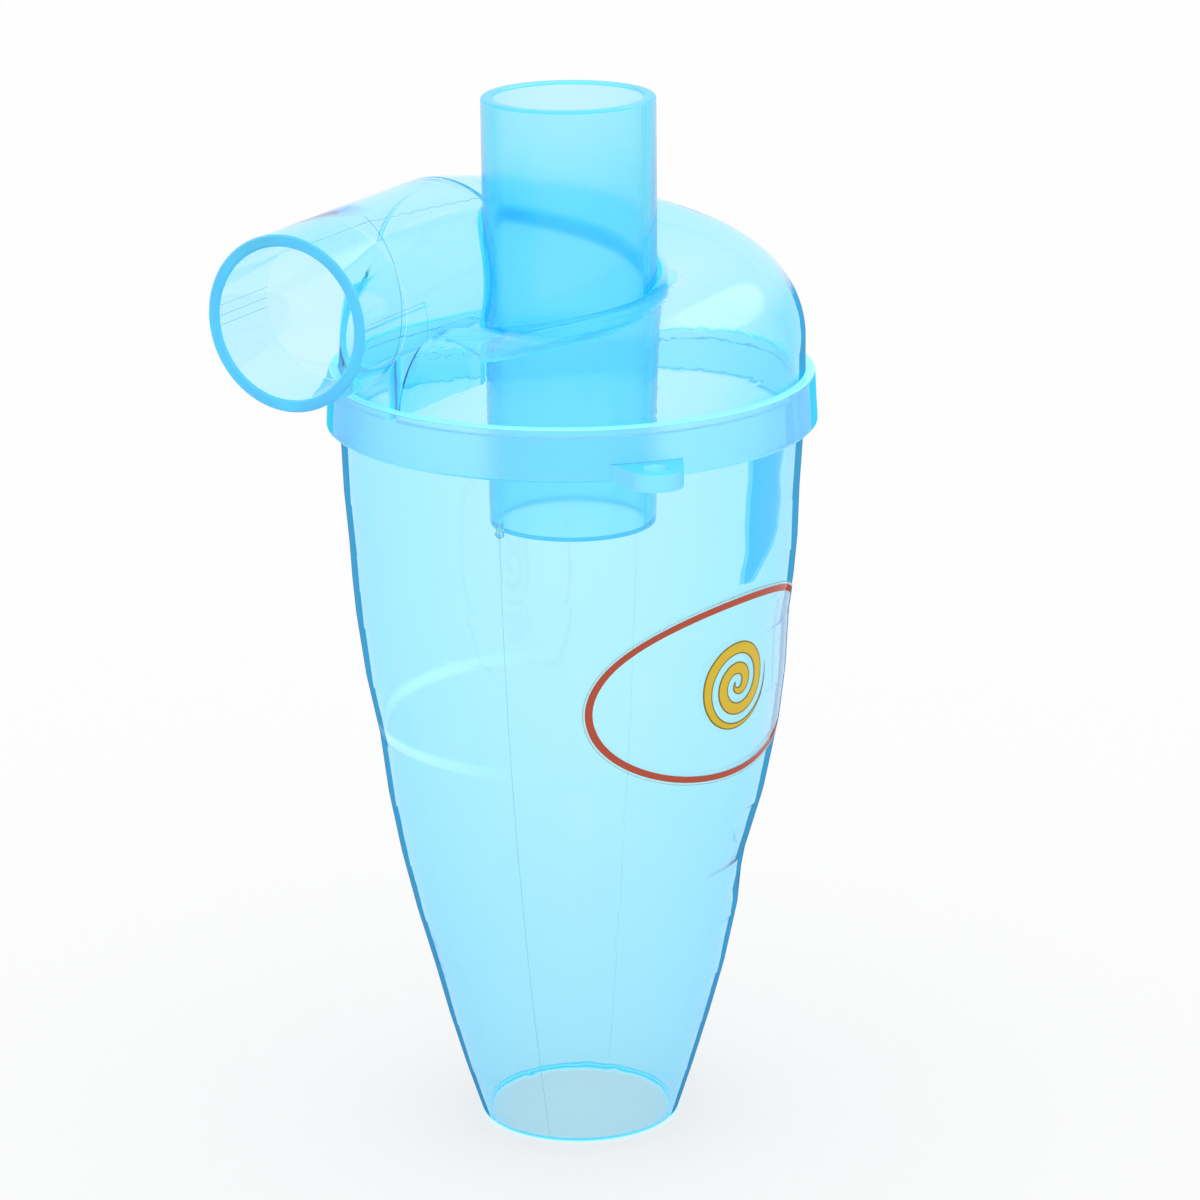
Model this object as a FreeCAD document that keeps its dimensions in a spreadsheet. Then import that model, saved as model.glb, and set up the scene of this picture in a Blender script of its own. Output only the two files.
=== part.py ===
import FreeCAD, Part
import math
import os

import PartDesign
import Sketcher
from FreeCAD import Placement, Rotation, Vector

# Cyclone dust separator, in millimetres. The cyclone axis is Z and the dust rim lies at z = 0.
# The air comes in along +Y on the -X side and turns clockwise as seen from above.

# Driving sizes: name, value, meaning
SIZES = [
    ("cone_height", 215.0, "dust rim to the underside of the collar"),
    ("dust_radius", 29.7, "outside of the cone at the dust rim"),
    ("cone_wall", 2.3, "wall of the cone"),
    ("cone_step", 0.2, "how far the cone's bore stands back from the cover's"),
    ("barrel_power", 1.9, "how full the cone is: 1 would be a straight cone"),
    ("parting_angle", -79.4, "azimuth of the mould's parting plane, degrees"),
    ("fold_reach", 40.0, "height over which a fold fades into the wall"),
    ("fold_blend", 0.3, "how softly a fold ends at the parting plane"),
    ("collar_height", 15.0, "height of the collar"),
    ("collar_lip", 3.5, "wall of the collar beside its rebate, at the foot"),
    ("collar_draft", 0.8, "how much the collar narrows up to its top"),
    ("collar_bevel", 0.5, "broken outer edges of the collar"),
    ("seat_depth", 3.2, "depth of the rebate that takes the cover"),
    ("seat_fit", 0.1, "glue gap between the rebate and the cover"),
    ("lug_angle", -45.2, "azimuth of the fixing lug, degrees"),
    ("lug_stand_off", 6.8, "collar to the hole of the lug"),
    ("lug_nose_radius", 7.7, "round end of the lug"),
    ("lug_root_width", 22.6, "width of the lug inside the collar"),
    ("lug_thickness", 5.0, "height of the lug"),
    ("lug_hole_radius", 3.6, "hole of the lug"),
    ("cover_radius", 67.6, "outside of the volute cover"),
    ("cover_wall", 2.8, "wall of the volute cover"),
    ("roof_fall", 42.0, "drop of the helical roof in a full turn"),
    ("roof_gap", 10.0, "what the helical roof lacks of a full turn, degrees"),
    ("roof_slope", 45.0, "steepest fall of the roof towards the air outlet, degrees"),
    ("roof_lap", 1.0, "how far the roof runs into the hole for the air outlet"),
    ("duct_side", 21.4, "cyclone axis to the flat side of the inlet duct"),
    ("inlet_radius", 25.0, "outside of the air inlet"),
    ("inlet_wall", 3.4, "wall of the air inlet, up to its inner step"),
    ("inlet_rise", 27.5, "collar top to the axis of the air inlet"),
    ("inlet_reach", 87.4, "cyclone axis to the mouth of the air inlet"),
    ("inlet_depth", 25.8, "depth of the bore, up to its inner step"),
    ("tube_radius", 25.0, "outside of the air outlet"),
    ("tube_wall", 3.4, "wall of the air outlet's parallel part"),
    ("tube_rise", 79.5, "collar top to the rim of the air outlet"),
    ("tube_straight", 66.0, "parallel part of the air outlet"),
    ("tube_taper", 58.7, "tapered part of the air outlet, inside the cyclone"),
    ("tube_foot_wall", 2.6, "wall of the air outlet at its foot"),
    ("tube_fit", 0.1, "glue gap between the air outlet and the roof"),
    ("rim_bevel", 0.5, "broken edges of both ports"),
    ("label_drop", 69.0, "collar down to the middle of the label"),
    ("label_angle", -13.0, "azimuth of the middle of the label, degrees"),
    ("label_half_length", 51.8, "half of the oval label, along the wall"),
    ("label_half_height", 28.5, "half of the oval label, upwards"),
    ("label_film", 0.2, "thickness of the label"),
    ("label_glue", 0.05, "glue under the label"),
]

# Folds of the cone from the top down, by turns in the two halves of the mould.
# Each is a sharp crease with hollow flanks: name, drop from the collar, depth, degrees from the parting plane.
FOLDS = [
    ("first_fold", 20.0, 0.9, 90.0),
    ("second_fold", 35.0, 0.6, 270.0),
    ("third_fold", 57.0, 1.5, 90.0),
    ("fourth_fold", 93.5, 1.5, 270.0),
    ("fifth_fold", 131.0, 2.5, 90.0),
    ("sixth_fold", 167.0, 0.65, 270.0),
]

# How finely the free shapes are drawn, with no size of their own
SECTION_POINTS = 16
SECTIONS_PER_REACH = 2
LABEL_POINTS = 16
SLOPE_STEP = 0.5
EDGE_MATCH = 0.001

# Levels and distances that follow from the sizes
COLLAR_TOP = "(Sizes.cone_height + Sizes.collar_height)"
SEAT_LEVEL = "(Sizes.cone_height + Sizes.collar_height - Sizes.seat_depth)"
SEAT_RADIUS = "(Sizes.cover_radius + Sizes.seat_fit)"
COLLAR_RADIUS = "(Sizes.cover_radius + Sizes.seat_fit + Sizes.collar_lip)"
COVER_BORE_RADIUS = "(Sizes.cover_radius - Sizes.cover_wall)"
CONE_TOP_RADIUS = "(Sizes.cover_radius - Sizes.cover_wall + Sizes.cone_step + Sizes.cone_wall)"
LUG_REACH = "(Sizes.cover_radius + Sizes.seat_fit + Sizes.collar_lip + Sizes.lug_stand_off)"
INLET_BORE_RADIUS = "(Sizes.inlet_radius - Sizes.inlet_wall)"
TUBE_BORE_RADIUS = "(Sizes.tube_radius - Sizes.tube_wall)"
INLET_LEVEL = "(Sizes.cone_height + Sizes.collar_height + Sizes.inlet_rise)"
DUCT_HEIGHT = "(Sizes.seat_depth + Sizes.inlet_rise)"
INLET_OFFSET = "(Sizes.cover_radius - Sizes.inlet_radius)"
CHANNEL_RADIUS = "(Sizes.inlet_radius - Sizes.cover_wall)"
ROOF_EDGE = "(Sizes.tube_radius - Sizes.roof_lap)"
TUBE_RIM = "(Sizes.cone_height + Sizes.collar_height + Sizes.tube_rise)"
TUBE_FOOT = "(%s - Sizes.tube_straight - Sizes.tube_taper)" % TUBE_RIM

os.makedirs("parts", exist_ok=True)
document = FreeCAD.newDocument("cyclone_separator")
sheet = document.addObject("Spreadsheet::Sheet", "Sizes")


def fill_sheet():
    rows = list(SIZES)
    for name, drop, depth, side in FOLDS:
        rows.append((name + "_drop", drop, "collar down to this crease"))
        rows.append((name + "_depth", depth, "depth of this crease"))
        rows.append((name + "_side", side, "its azimuth from the parting plane, degrees"))
    for row, (alias, value, meaning) in enumerate(rows, start=1):
        sheet.set("A%d" % row, alias)
        sheet.set("B%d" % row, str(value))
        sheet.set("C%d" % row, meaning)
        sheet.setAlias("B%d" % row, alias)
    document.recompute()


def size(text):
    """Number that an expression with the sheet's names stands for."""
    return float(sheet.evalExpression(text))


def origin_part(body, role):
    return [item for item in body.Origin.OriginFeatures if item.Role == role][0]


def new_sketch(body, name, role, offset="0", turn=None):
    """Sketch on an origin plane of the body, moved along its normal and turned about it."""
    sketch = body.newObject("Sketcher::SketchObject", name)
    sketch.AttachmentSupport = [(origin_part(body, role), "")]
    sketch.MapMode = "FlatFace"
    angle = size(turn) if turn else 0.0
    sketch.AttachmentOffset = Placement(Vector(0, 0, size(offset)), Rotation(Vector(0, 0, 1), angle))
    sketch.setExpression("AttachmentOffset.Base.z", offset)
    if turn:
        sketch.setExpression("AttachmentOffset.Rotation.Angle", turn)
    return sketch


def bind(sketch, constraint, text):
    sketch.setExpression("Constraints[%d]" % sketch.addConstraint(constraint), text)


def hold(sketch, kind, geometry, point, text):
    """Bind the distance of a point from the sketch's origin, with its sign."""
    value = size(text)
    if value < 0:
        bind(sketch, Sketcher.Constraint(kind, geometry, point, -1, 1, -value), "-(%s)" % text)
    else:
        bind(sketch, Sketcher.Constraint(kind, -1, 1, geometry, point, value), text)


def hold_point(sketch, geometry, point, across, up):
    hold(sketch, "DistanceX", geometry, point, across)
    hold(sketch, "DistanceY", geometry, point, up)


def join_ends(sketch, pairs):
    for first, first_end, second, second_end in pairs:
        sketch.addConstraint(Sketcher.Constraint("Coincident", first, first_end, second, second_end))


def draw_polygon(sketch, corners):
    """Closed outline through corners given as pairs of expressions."""
    points = [Vector(size(across), size(up), 0) for across, up in corners]
    count = len(points)
    for index in range(count):
        sketch.addGeometry(Part.LineSegment(points[index], points[(index + 1) % count]), False)
    for index, (across, up) in enumerate(corners):
        join_ends(sketch, [(index, 2, (index + 1) % count, 1)])
        hold_point(sketch, index, 1, across, up)


def draw_circle(sketch, radius, across="0", up="0"):
    centre = Vector(size(across), size(up), 0)
    sketch.addGeometry(Part.Circle(centre, Vector(0, 0, 1), size(radius)), False)
    bind(sketch, Sketcher.Constraint("Radius", 0, size(radius)), radius)
    hold_point(sketch, 0, 3, across, up)


def extrude(body, kind, name, sketch, length, reverse=False):
    feature = body.newObject("PartDesign::" + kind, name)
    feature.Profile = sketch
    feature.setExpression("Length", length)
    feature.Reversed = reverse
    return feature


def revolve(body, name, sketch):
    feature = body.newObject("PartDesign::Revolution", name)
    feature.Profile = sketch
    feature.ReferenceAxis = (origin_part(body, "Z_Axis"), [""])
    feature.Angle = 360.0
    return feature


def bevel_rims(body, name, places, amount):
    """Chamfer the body's round edges whose centre and radius are among the places."""
    document.recompute()
    base = body.Tip
    picked = []
    for index, edge in enumerate(base.Shape.Edges, start=1):
        if not isinstance(edge.Curve, Part.Circle):
            continue
        for centre, radius in places:
            if edge.Curve.Center.isEqual(centre, EDGE_MATCH) and abs(edge.Curve.Radius - radius) < EDGE_MATCH:
                picked.append("Edge%d" % index)
    feature = body.newObject("PartDesign::Chamfer", name)
    feature.Base = (base, picked)
    feature.setExpression("Size", amount)
    return feature


# Cone, whose folds need sections by formula


def envelope(level):
    """Outside radius of the cone where no fold reaches."""
    top = size(CONE_TOP_RADIUS)
    rest = 1 - level / size("Sizes.cone_height")
    return top - (top - size("Sizes.dust_radius")) * rest ** size("Sizes.barrel_power")


def wall_lean(level):
    """How much thicker the leaning wall is when it is measured across the axis."""
    high = min(level + SLOPE_STEP, size("Sizes.cone_height"))
    low = max(level - SLOPE_STEP, 0.0)
    return math.hypot(1.0, (envelope(high) - envelope(low)) / (high - low))


def read_folds():
    folds = []
    for name, _drop, _depth, _side in FOLDS:
        side = math.radians(size("Sizes.%s_side + Sizes.parting_angle" % name))
        folds.append((size("Sizes.cone_height - Sizes.%s_drop" % name), size("Sizes.%s_depth" % name), side))
    return folds


def fold_dent(azimuth, level, folds):
    """How far the folds draw the wall in. Each ends at the parting plane and at the cone's ends."""
    blend = size("Sizes.fold_blend")
    dent = 0.0
    for fold_level, depth, side in folds:
        end = size("Sizes.cone_height") - fold_level if level > fold_level else fold_level
        away = abs(level - fold_level) / min(size("Sizes.fold_reach"), end)
        if away < 1:
            facing = math.cos(azimuth - side)
            dent += depth * (1 - away) ** 2 * (facing + math.hypot(facing, blend)) / 2
    return dent


def cone_levels(folds):
    """Levels of the cone's sections: one at each crease, with even steps between."""
    stops = sorted([0.0, size("Sizes.cone_height")] + [fold[0] for fold in folds])
    spacing = size("Sizes.fold_reach") / SECTIONS_PER_REACH
    levels = stops[:1]
    for low, high in zip(stops, stops[1:]):
        steps = math.ceil((high - low) / spacing)
        levels += [low + (high - low) * step / steps for step in range(1, steps + 1)]
    return levels


def cone_solid(inset):
    """Solid inside the cone's outer face, moved inwards by the inset."""
    folds = read_folds()
    start = math.radians(size("Sizes.parting_angle"))
    knots = [index / SECTION_POINTS for index in range(SECTION_POINTS + 1)]
    sections = []
    for level in cone_levels(folds):
        radius = envelope(level) - inset * wall_lean(level)
        points = []
        for knot in knots[:-1]:
            azimuth = start + 2 * math.pi * knot
            reach = radius - fold_dent(azimuth, level, folds)
            points.append(Vector(reach * math.cos(azimuth), reach * math.sin(azimuth), level))
        curve = Part.BSplineCurve()
        curve.interpolate(Points=points, PeriodicFlag=True, Parameters=knots)
        sections.append(Part.Wire([curve.toShape()]))
    return Part.makeLoft(sections, True, True)


def make_cone_body():
    """Cone, collar and lug, which are one blown piece."""
    wall = document.addObject("Part::Feature", "cone_wall")
    wall.Shape = cone_solid(0.0).cut(cone_solid(size("Sizes.cone_wall")))
    piece = document.addObject("Part::MultiFuse", "cone_body")
    piece.Shapes = [wall, make_collar()]
    return piece


def make_collar():
    """Collar with the rebate for the cover, and the lug that stands out from its foot."""
    body = document.addObject("PartDesign::Body", "collar")
    profile = new_sketch(body, "collar_profile", "XZ_Plane")
    draw_polygon(profile, [
        (COVER_BORE_RADIUS, "Sizes.cone_height"),
        (COLLAR_RADIUS, "Sizes.cone_height"),
        (COLLAR_RADIUS + " - Sizes.collar_draft", COLLAR_TOP),
        (SEAT_RADIUS, COLLAR_TOP),
        (SEAT_RADIUS, SEAT_LEVEL),
        (COVER_BORE_RADIUS, SEAT_LEVEL),
    ])
    revolve(body, "collar_ring", profile)
    foot = (Vector(0, 0, size("Sizes.cone_height")), size(COLLAR_RADIUS))
    top = (Vector(0, 0, size(COLLAR_TOP)), size(COLLAR_RADIUS + " - Sizes.collar_draft"))
    bevel_rims(body, "collar_bevels", [foot, top], "Sizes.collar_bevel")
    outline = new_sketch(body, "lug_outline", "XY_Plane", "Sizes.cone_height", "Sizes.lug_angle")
    draw_lug(outline)
    extrude(body, "Pad", "lug", outline, "Sizes.lug_thickness")
    hole = new_sketch(body, "lug_hole_outline", "XY_Plane", "Sizes.cone_height", "Sizes.lug_angle")
    draw_circle(hole, "Sizes.lug_hole_radius", LUG_REACH)
    extrude(body, "Pocket", "lug_hole", hole, "Sizes.lug_thickness", True)
    return body


def draw_lug(sketch):
    """Round nose with straight flanks that spread to the root inside the collar."""
    reach = size(LUG_REACH)
    nose = size("Sizes.lug_nose_radius")
    root = size(SEAT_RADIUS)
    half = size("Sizes.lug_root_width / 2")
    flank = math.hypot(reach - root, half)
    lean = math.atan2(half, root - reach) - math.acos(nose / flank)
    circle = Part.Circle(Vector(reach, 0, 0), Vector(0, 0, 1), nose)
    upper = Vector(reach + nose * math.cos(lean), nose * math.sin(lean), 0)
    lower = Vector(upper.x, -upper.y, 0)
    sketch.addGeometry(Part.ArcOfCircle(circle, -lean, lean), False)
    sketch.addGeometry(Part.LineSegment(upper, Vector(root, half, 0)), False)
    sketch.addGeometry(Part.LineSegment(Vector(root, half, 0), Vector(root, -half, 0)), False)
    sketch.addGeometry(Part.LineSegment(Vector(root, -half, 0), lower), False)
    sketch.addConstraint(Sketcher.Constraint("Tangent", 0, 2, 1, 1))
    sketch.addConstraint(Sketcher.Constraint("Tangent", 3, 2, 0, 1))
    join_ends(sketch, [(1, 2, 2, 1), (2, 2, 3, 1)])
    bind(sketch, Sketcher.Constraint("Radius", 0, nose), "Sizes.lug_nose_radius")
    hold_point(sketch, 0, 3, LUG_REACH, "0")
    hold_point(sketch, 2, 1, SEAT_RADIUS, "Sizes.lug_root_width / 2")
    hold_point(sketch, 2, 2, SEAT_RADIUS, "-Sizes.lug_root_width / 2")


# Volute cover: a helical roof that runs on from the top of the inlet


def make_volute_cover():
    body = document.addObject("PartDesign::Body", "volute_cover")
    add_roof(body, "AdditiveHelix", "roof", "Sizes.inlet_radius", "Sizes.cone_height")
    add_roof(body, "SubtractiveHelix", "roof_bore", CHANNEL_RADIUS, "Sizes.cone_height")
    foot = new_sketch(body, "foot_outline", "XY_Plane", SEAT_LEVEL)
    draw_circle(foot, SEAT_RADIUS)
    extrude(body, "Pocket", "foot", foot, "Sizes.roof_fall + Sizes.collar_height")
    room = new_sketch(body, "duct_room_outline", "XY_Plane", SEAT_LEVEL)
    draw_duct(room, SEAT_RADIUS, "Sizes.duct_side")
    extrude(body, "Pocket", "duct_room", room, DUCT_HEIGHT, True)

    duct = new_sketch(body, "duct_outline", "XY_Plane", SEAT_LEVEL)
    draw_duct(duct, "Sizes.cover_radius", "Sizes.duct_side")
    extrude(body, "Pad", "duct", duct, DUCT_HEIGHT)
    pipe = new_sketch(body, "pipe_outline", "XZ_Plane")
    draw_circle(pipe, "Sizes.inlet_radius", "-" + INLET_OFFSET, INLET_LEVEL)
    extrude(body, "Pad", "pipe", pipe, "Sizes.inlet_reach")

    duct = new_sketch(body, "duct_bore_outline", "XY_Plane", SEAT_LEVEL)
    draw_duct(duct, COVER_BORE_RADIUS, "(Sizes.duct_side + Sizes.cover_wall)")
    extrude(body, "Pocket", "duct_bore", duct, DUCT_HEIGHT, True)
    channel = new_sketch(body, "channel_outline", "XZ_Plane")
    draw_circle(channel, CHANNEL_RADIUS, "-" + INLET_OFFSET, INLET_LEVEL)
    extrude(body, "Pocket", "channel", channel, "Sizes.inlet_reach - Sizes.inlet_depth", True)
    bore = new_sketch(body, "bore_outline", "XZ_Plane")
    draw_circle(bore, INLET_BORE_RADIUS, "-" + INLET_OFFSET, INLET_LEVEL)
    extrude(body, "Pocket", "bore", bore, "Sizes.inlet_reach", True)
    mouth = Vector(-size(INLET_OFFSET), -size("Sizes.inlet_reach"), size(INLET_LEVEL))
    rims = [(mouth, size("Sizes.inlet_radius")), (mouth, size(INLET_BORE_RADIUS))]
    bevel_rims(body, "mouth_bevels", rims, "Sizes.rim_bevel")
    hole = new_sketch(body, "tube_hole_outline", "XY_Plane", SEAT_LEVEL)
    draw_circle(hole, "Sizes.tube_radius + Sizes.tube_fit")
    extrude(body, "Pocket", "tube_hole", hole, DUCT_HEIGHT + " + Sizes.inlet_radius", True)
    return body


def add_roof(body, kind, name, radius, foot):
    """Helical sweep of a vault on an upright outer wall. Past its crown it falls to the air
    outlet, straight on from where it is steepest if that comes before the outlet."""
    document.recompute()
    sketch = new_sketch(body, name + "_section", "XZ_Plane")
    level = size(INLET_LEVEL)
    edge = size("-" + ROOF_EDGE)
    crown = Part.Circle(Vector(size("-" + INLET_OFFSET), level, 0), Vector(0, 0, 1), size(radius))
    slope = math.radians(size("Sizes.roof_slope"))
    steepest = crown.Center.x + crown.Radius * math.sin(slope)
    straight = max(0.0, edge - steepest)
    start = math.acos((edge - straight - crown.Center.x) / crown.Radius)
    wall = crown.Center.x - crown.Radius
    shoulder = Vector(edge - straight, level + crown.Radius * math.sin(start), 0)
    top = Vector(edge, shoulder.y - straight * math.tan(slope), 0)
    bottom = size(foot)
    sketch.addGeometry(Part.ArcOfCircle(crown, start, math.pi), False)
    sketch.addGeometry(Part.LineSegment(Vector(wall, level, 0), Vector(wall, bottom, 0)), False)
    sketch.addGeometry(Part.LineSegment(Vector(wall, bottom, 0), Vector(edge, bottom, 0)), False)
    sketch.addGeometry(Part.LineSegment(Vector(edge, bottom, 0), top), False)
    sketch.addConstraint(Sketcher.Constraint("Tangent", 0, 2, 1, 1))
    join_ends(sketch, [(1, 2, 2, 1), (2, 2, 3, 1)])
    if straight:
        sketch.addGeometry(Part.LineSegment(top, shoulder), False)
        sketch.addConstraint(Sketcher.Constraint("Tangent", 4, 2, 0, 1))
        join_ends(sketch, [(3, 2, 4, 1)])
        bind(sketch, Sketcher.Constraint("Angle", 4, math.pi - slope), "180 - Sizes.roof_slope")
    else:
        join_ends(sketch, [(3, 2, 0, 1)])
    sketch.addConstraint(Sketcher.Constraint("Vertical", 1))
    sketch.addConstraint(Sketcher.Constraint("Horizontal", 2))
    sketch.addConstraint(Sketcher.Constraint("Vertical", 3))
    bind(sketch, Sketcher.Constraint("Radius", 0, crown.Radius), radius)
    hold_point(sketch, 0, 3, "-" + INLET_OFFSET, INLET_LEVEL)
    hold_point(sketch, 2, 2, "-" + ROOF_EDGE, foot)

    helix = body.newObject("PartDesign::" + kind, name)
    helix.Profile = sketch
    helix.ReferenceAxis = (origin_part(body, "Z_Axis"), [""])
    helix.Mode = "pitch-turns-angle"
    helix.setExpression("Pitch", "Sizes.roof_fall")
    helix.setExpression("Turns", "1 - Sizes.roof_gap / 360")
    helix.LeftHanded = False
    helix.Reversed = True
    return helix


def draw_duct(sketch, radius, side):
    """Part of the cover's round that lies beyond the flat side, on the inlet's half."""
    outer = size(radius)
    flat = size(side)
    reach = math.sqrt(outer ** 2 - flat ** 2)
    circle = Part.Circle(Vector(), Vector(0, 0, 1), outer)
    corner = Vector(-flat, -reach, 0)
    sketch.addGeometry(Part.ArcOfCircle(circle, math.pi, math.pi + math.atan2(reach, flat)), False)
    sketch.addGeometry(Part.LineSegment(corner, Vector(-flat, 0, 0)), False)
    sketch.addGeometry(Part.LineSegment(Vector(-flat, 0, 0), Vector(-outer, 0, 0)), False)
    join_ends(sketch, [(0, 2, 1, 1), (1, 2, 2, 1), (2, 2, 0, 1), (0, 3, -1, 1)])
    sketch.addConstraint(Sketcher.Constraint("Vertical", 1))
    sketch.addConstraint(Sketcher.Constraint("Horizontal", 2))
    bind(sketch, Sketcher.Constraint("Radius", 0, outer), radius)
    hold_point(sketch, 1, 2, "-" + side, "0")


# Air outlet, glued into the hole of the roof


def make_outlet_tube():
    body = document.addObject("PartDesign::Body", "outlet_tube")
    profile = new_sketch(body, "tube_profile", "XZ_Plane")
    draw_polygon(profile, [
        (TUBE_BORE_RADIUS, TUBE_FOOT),
        (TUBE_BORE_RADIUS + " + Sizes.tube_foot_wall", TUBE_FOOT),
        ("Sizes.tube_radius", TUBE_FOOT + " + Sizes.tube_taper"),
        ("Sizes.tube_radius", TUBE_RIM + " - Sizes.rim_bevel"),
        ("Sizes.tube_radius - Sizes.rim_bevel", TUBE_RIM),
        (TUBE_BORE_RADIUS + " + Sizes.rim_bevel", TUBE_RIM),
        (TUBE_BORE_RADIUS, TUBE_RIM + " - Sizes.rim_bevel"),
    ])
    revolve(body, "tube", profile)
    return body


# Oval film, which follows the cone's wall with its folds


def make_label():
    glue = size("Sizes.label_glue")
    film = cone_solid(-glue - size("Sizes.label_film")).cut(cone_solid(-glue))
    level = size("Sizes.cone_height - Sizes.label_drop")
    wall_radius = envelope(level)
    half_length = size("Sizes.label_half_length")
    half_height = size("Sizes.label_half_height")
    knots = [index / LABEL_POINTS for index in range(LABEL_POINTS + 1)]
    points = []
    for knot in knots[:-1]:
        along = half_length * math.cos(2 * math.pi * knot)
        aside = wall_radius * math.sin(along / wall_radius)
        points.append(Vector(0, aside, half_height * math.sin(2 * math.pi * knot)))
    oval = Part.BSplineCurve()
    oval.interpolate(Points=points, PeriodicFlag=True, Parameters=knots)
    outline = Part.Face(Part.Wire([oval.toShape()]))
    cutter = outline.extrude(Vector(2 * wall_radius, 0, 0))
    cutter.Placement = Placement(Vector(0, 0, level), Rotation(Vector(0, 0, 1), size("Sizes.label_angle")))
    piece = document.addObject("Part::Feature", "label")
    piece.Shape = film.common(cutter)
    return piece


def write(pieces):
    document.recompute()
    for item in document.Objects:
        if "Invalid" in item.State or "Error" in item.State:
            raise RuntimeError("%s failed: %s" % (item.Name, item.State))
    for piece in pieces:
        piece.Label = piece.Name
        if piece.Shape.isNull() or not piece.Shape.isValid():
            raise RuntimeError("%s has no valid shape" % piece.Name)
        if len(piece.Shape.Solids) != 1:
            raise RuntimeError("%s has %d solids" % (piece.Name, len(piece.Shape.Solids)))
    for piece in pieces:
        piece.Shape.exportStep("parts/%s.step" % piece.Name)
        print(piece.Name, round(piece.Shape.Volume), "mm3")


fill_sheet()
write([make_cone_body(), make_volute_cover(), make_outlet_tube(), make_label()])
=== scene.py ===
from collections import namedtuple
import math

import bpy
from mathutils import Matrix, Vector


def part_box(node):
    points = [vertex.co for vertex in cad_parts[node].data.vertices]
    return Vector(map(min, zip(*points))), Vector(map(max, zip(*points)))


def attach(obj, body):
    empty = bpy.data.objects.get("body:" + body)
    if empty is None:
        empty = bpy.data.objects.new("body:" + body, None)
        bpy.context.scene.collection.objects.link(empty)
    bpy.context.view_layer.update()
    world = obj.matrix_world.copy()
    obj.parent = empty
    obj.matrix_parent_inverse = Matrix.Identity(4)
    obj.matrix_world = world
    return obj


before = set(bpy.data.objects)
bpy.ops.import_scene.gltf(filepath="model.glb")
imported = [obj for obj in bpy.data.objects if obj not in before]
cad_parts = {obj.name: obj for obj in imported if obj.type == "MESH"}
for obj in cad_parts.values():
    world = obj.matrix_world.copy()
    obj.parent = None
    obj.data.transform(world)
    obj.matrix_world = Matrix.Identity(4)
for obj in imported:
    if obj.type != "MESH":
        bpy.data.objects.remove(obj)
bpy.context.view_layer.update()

# Camera, fitted to the photograph: place and angles in the part's frame
CAMERA_PLACE = (0.5795, -1.0945, 0.5391)
CAMERA_TURN = 27.552
CAMERA_PITCH = 17.038
CAMERA_ROLL = -0.607
LENS_MM = 132.24
SENSOR_MM = 36.0

# Light: a white studio all round, with a window that only reflections show
SKY_STRENGTH = 1.0
WINDOW_STRENGTH = 2.6
WINDOW_WAY = (0.25, 0.62, 0.74)
WINDOW_EDGE = 0.925
WINDOW_CORE = 0.965
BOUNCES = 24

# The floor keeps the shadow, and looks white by a glow that only seen rays meet
FLOOR_HALF_SIDE = 3.0
FLOOR_LEVEL = -0.0005
FLOOR_GREY = 0.38
FLOOR_GLOW = 0.61
FLOOR_ROUGHNESS = 0.9

# Light blue plastic: its absorption colour, and how strongly each piece absorbs
ABSORB = (0.0, 0.85, 0.997)
CONE_DENSITY = 160.0
COVER_DENSITY = 115.0
TUBE_DENSITY = 150.0
IOR = 1.49
GLOSS = 0.5
CLEAR = 1.0
SMOOTH = 0.0

# Light scattered inside the plastic, as a trace of glow on its faces
SCATTER = (0.05, 0.62, 1.0)
SCATTER_STRENGTH = 0.015
RIM_SCATTER_STRENGTH = 0.24

# Tints by how far a wall turns from the eye: at its outline it shows its own thickness
WHITE = (1.0, 1.0, 1.0)
LAVENDER = (0.78, 0.85, 1.0)
CONE_SIDE = (0.64, 0.84, 1.0)
WALL_BLUE = (0.02, 0.47, 0.90)
WALL_DARK = (0.0, 0.22, 0.60)
CONE_EDGE = [(0.0, WHITE), (0.20, (0.94, 0.98, 1.0)), (0.45, (0.88, 0.94, 1.0)), (0.70, CONE_SIDE),
             (0.775, CONE_SIDE), (0.785, WALL_BLUE), (0.90, WALL_BLUE), (0.95, WALL_DARK)]
COVER_EDGE = [(0.0, WHITE), (0.18, (0.92, 0.985, 1.0)), (0.40, (0.55, 0.90, 1.0)), (0.60, (0.26, 0.78, 1.0)),
              (0.77, (0.14, 0.72, 1.0)), (0.785, WALL_BLUE), (0.90, WALL_BLUE), (0.95, WALL_DARK)]
WALL_SHARE = 0.78
TUBE_BLUE = (0.40, 0.90, 1.0)
TUBE_EDGE = [(0.0, WHITE), (0.35, WHITE), (0.50, TUBE_BLUE), (0.90, TUBE_BLUE), (0.96, WALL_BLUE)]
TUBE_SHARE = 0.93

# A face has the whole tint up to the first rise of its normal, and none from the second on
UPRIGHT = 0.5
LEVEL = 0.82

# Clearness where a wall shows its thickness
EDGE_CLEARNESS = 0.1

# The outlet tube is a little rough, and paler where light falls in at its top
TUBE_DEEP = (0.80, 0.97, 1.0)
TUBE_PALE_FROM = 0.303
TUBE_DEEP_FROM = 0.280
TUBE_ROUGHNESS = 0.14

# Cut and moulded rims are frosted
RIM_DEPTH = 0.0008
RIM_BLUE = (0.17, 0.83, 1.0)
RIM_CLEARNESS = 0.4
RIM_ROUGHNESS = 0.35

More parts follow.
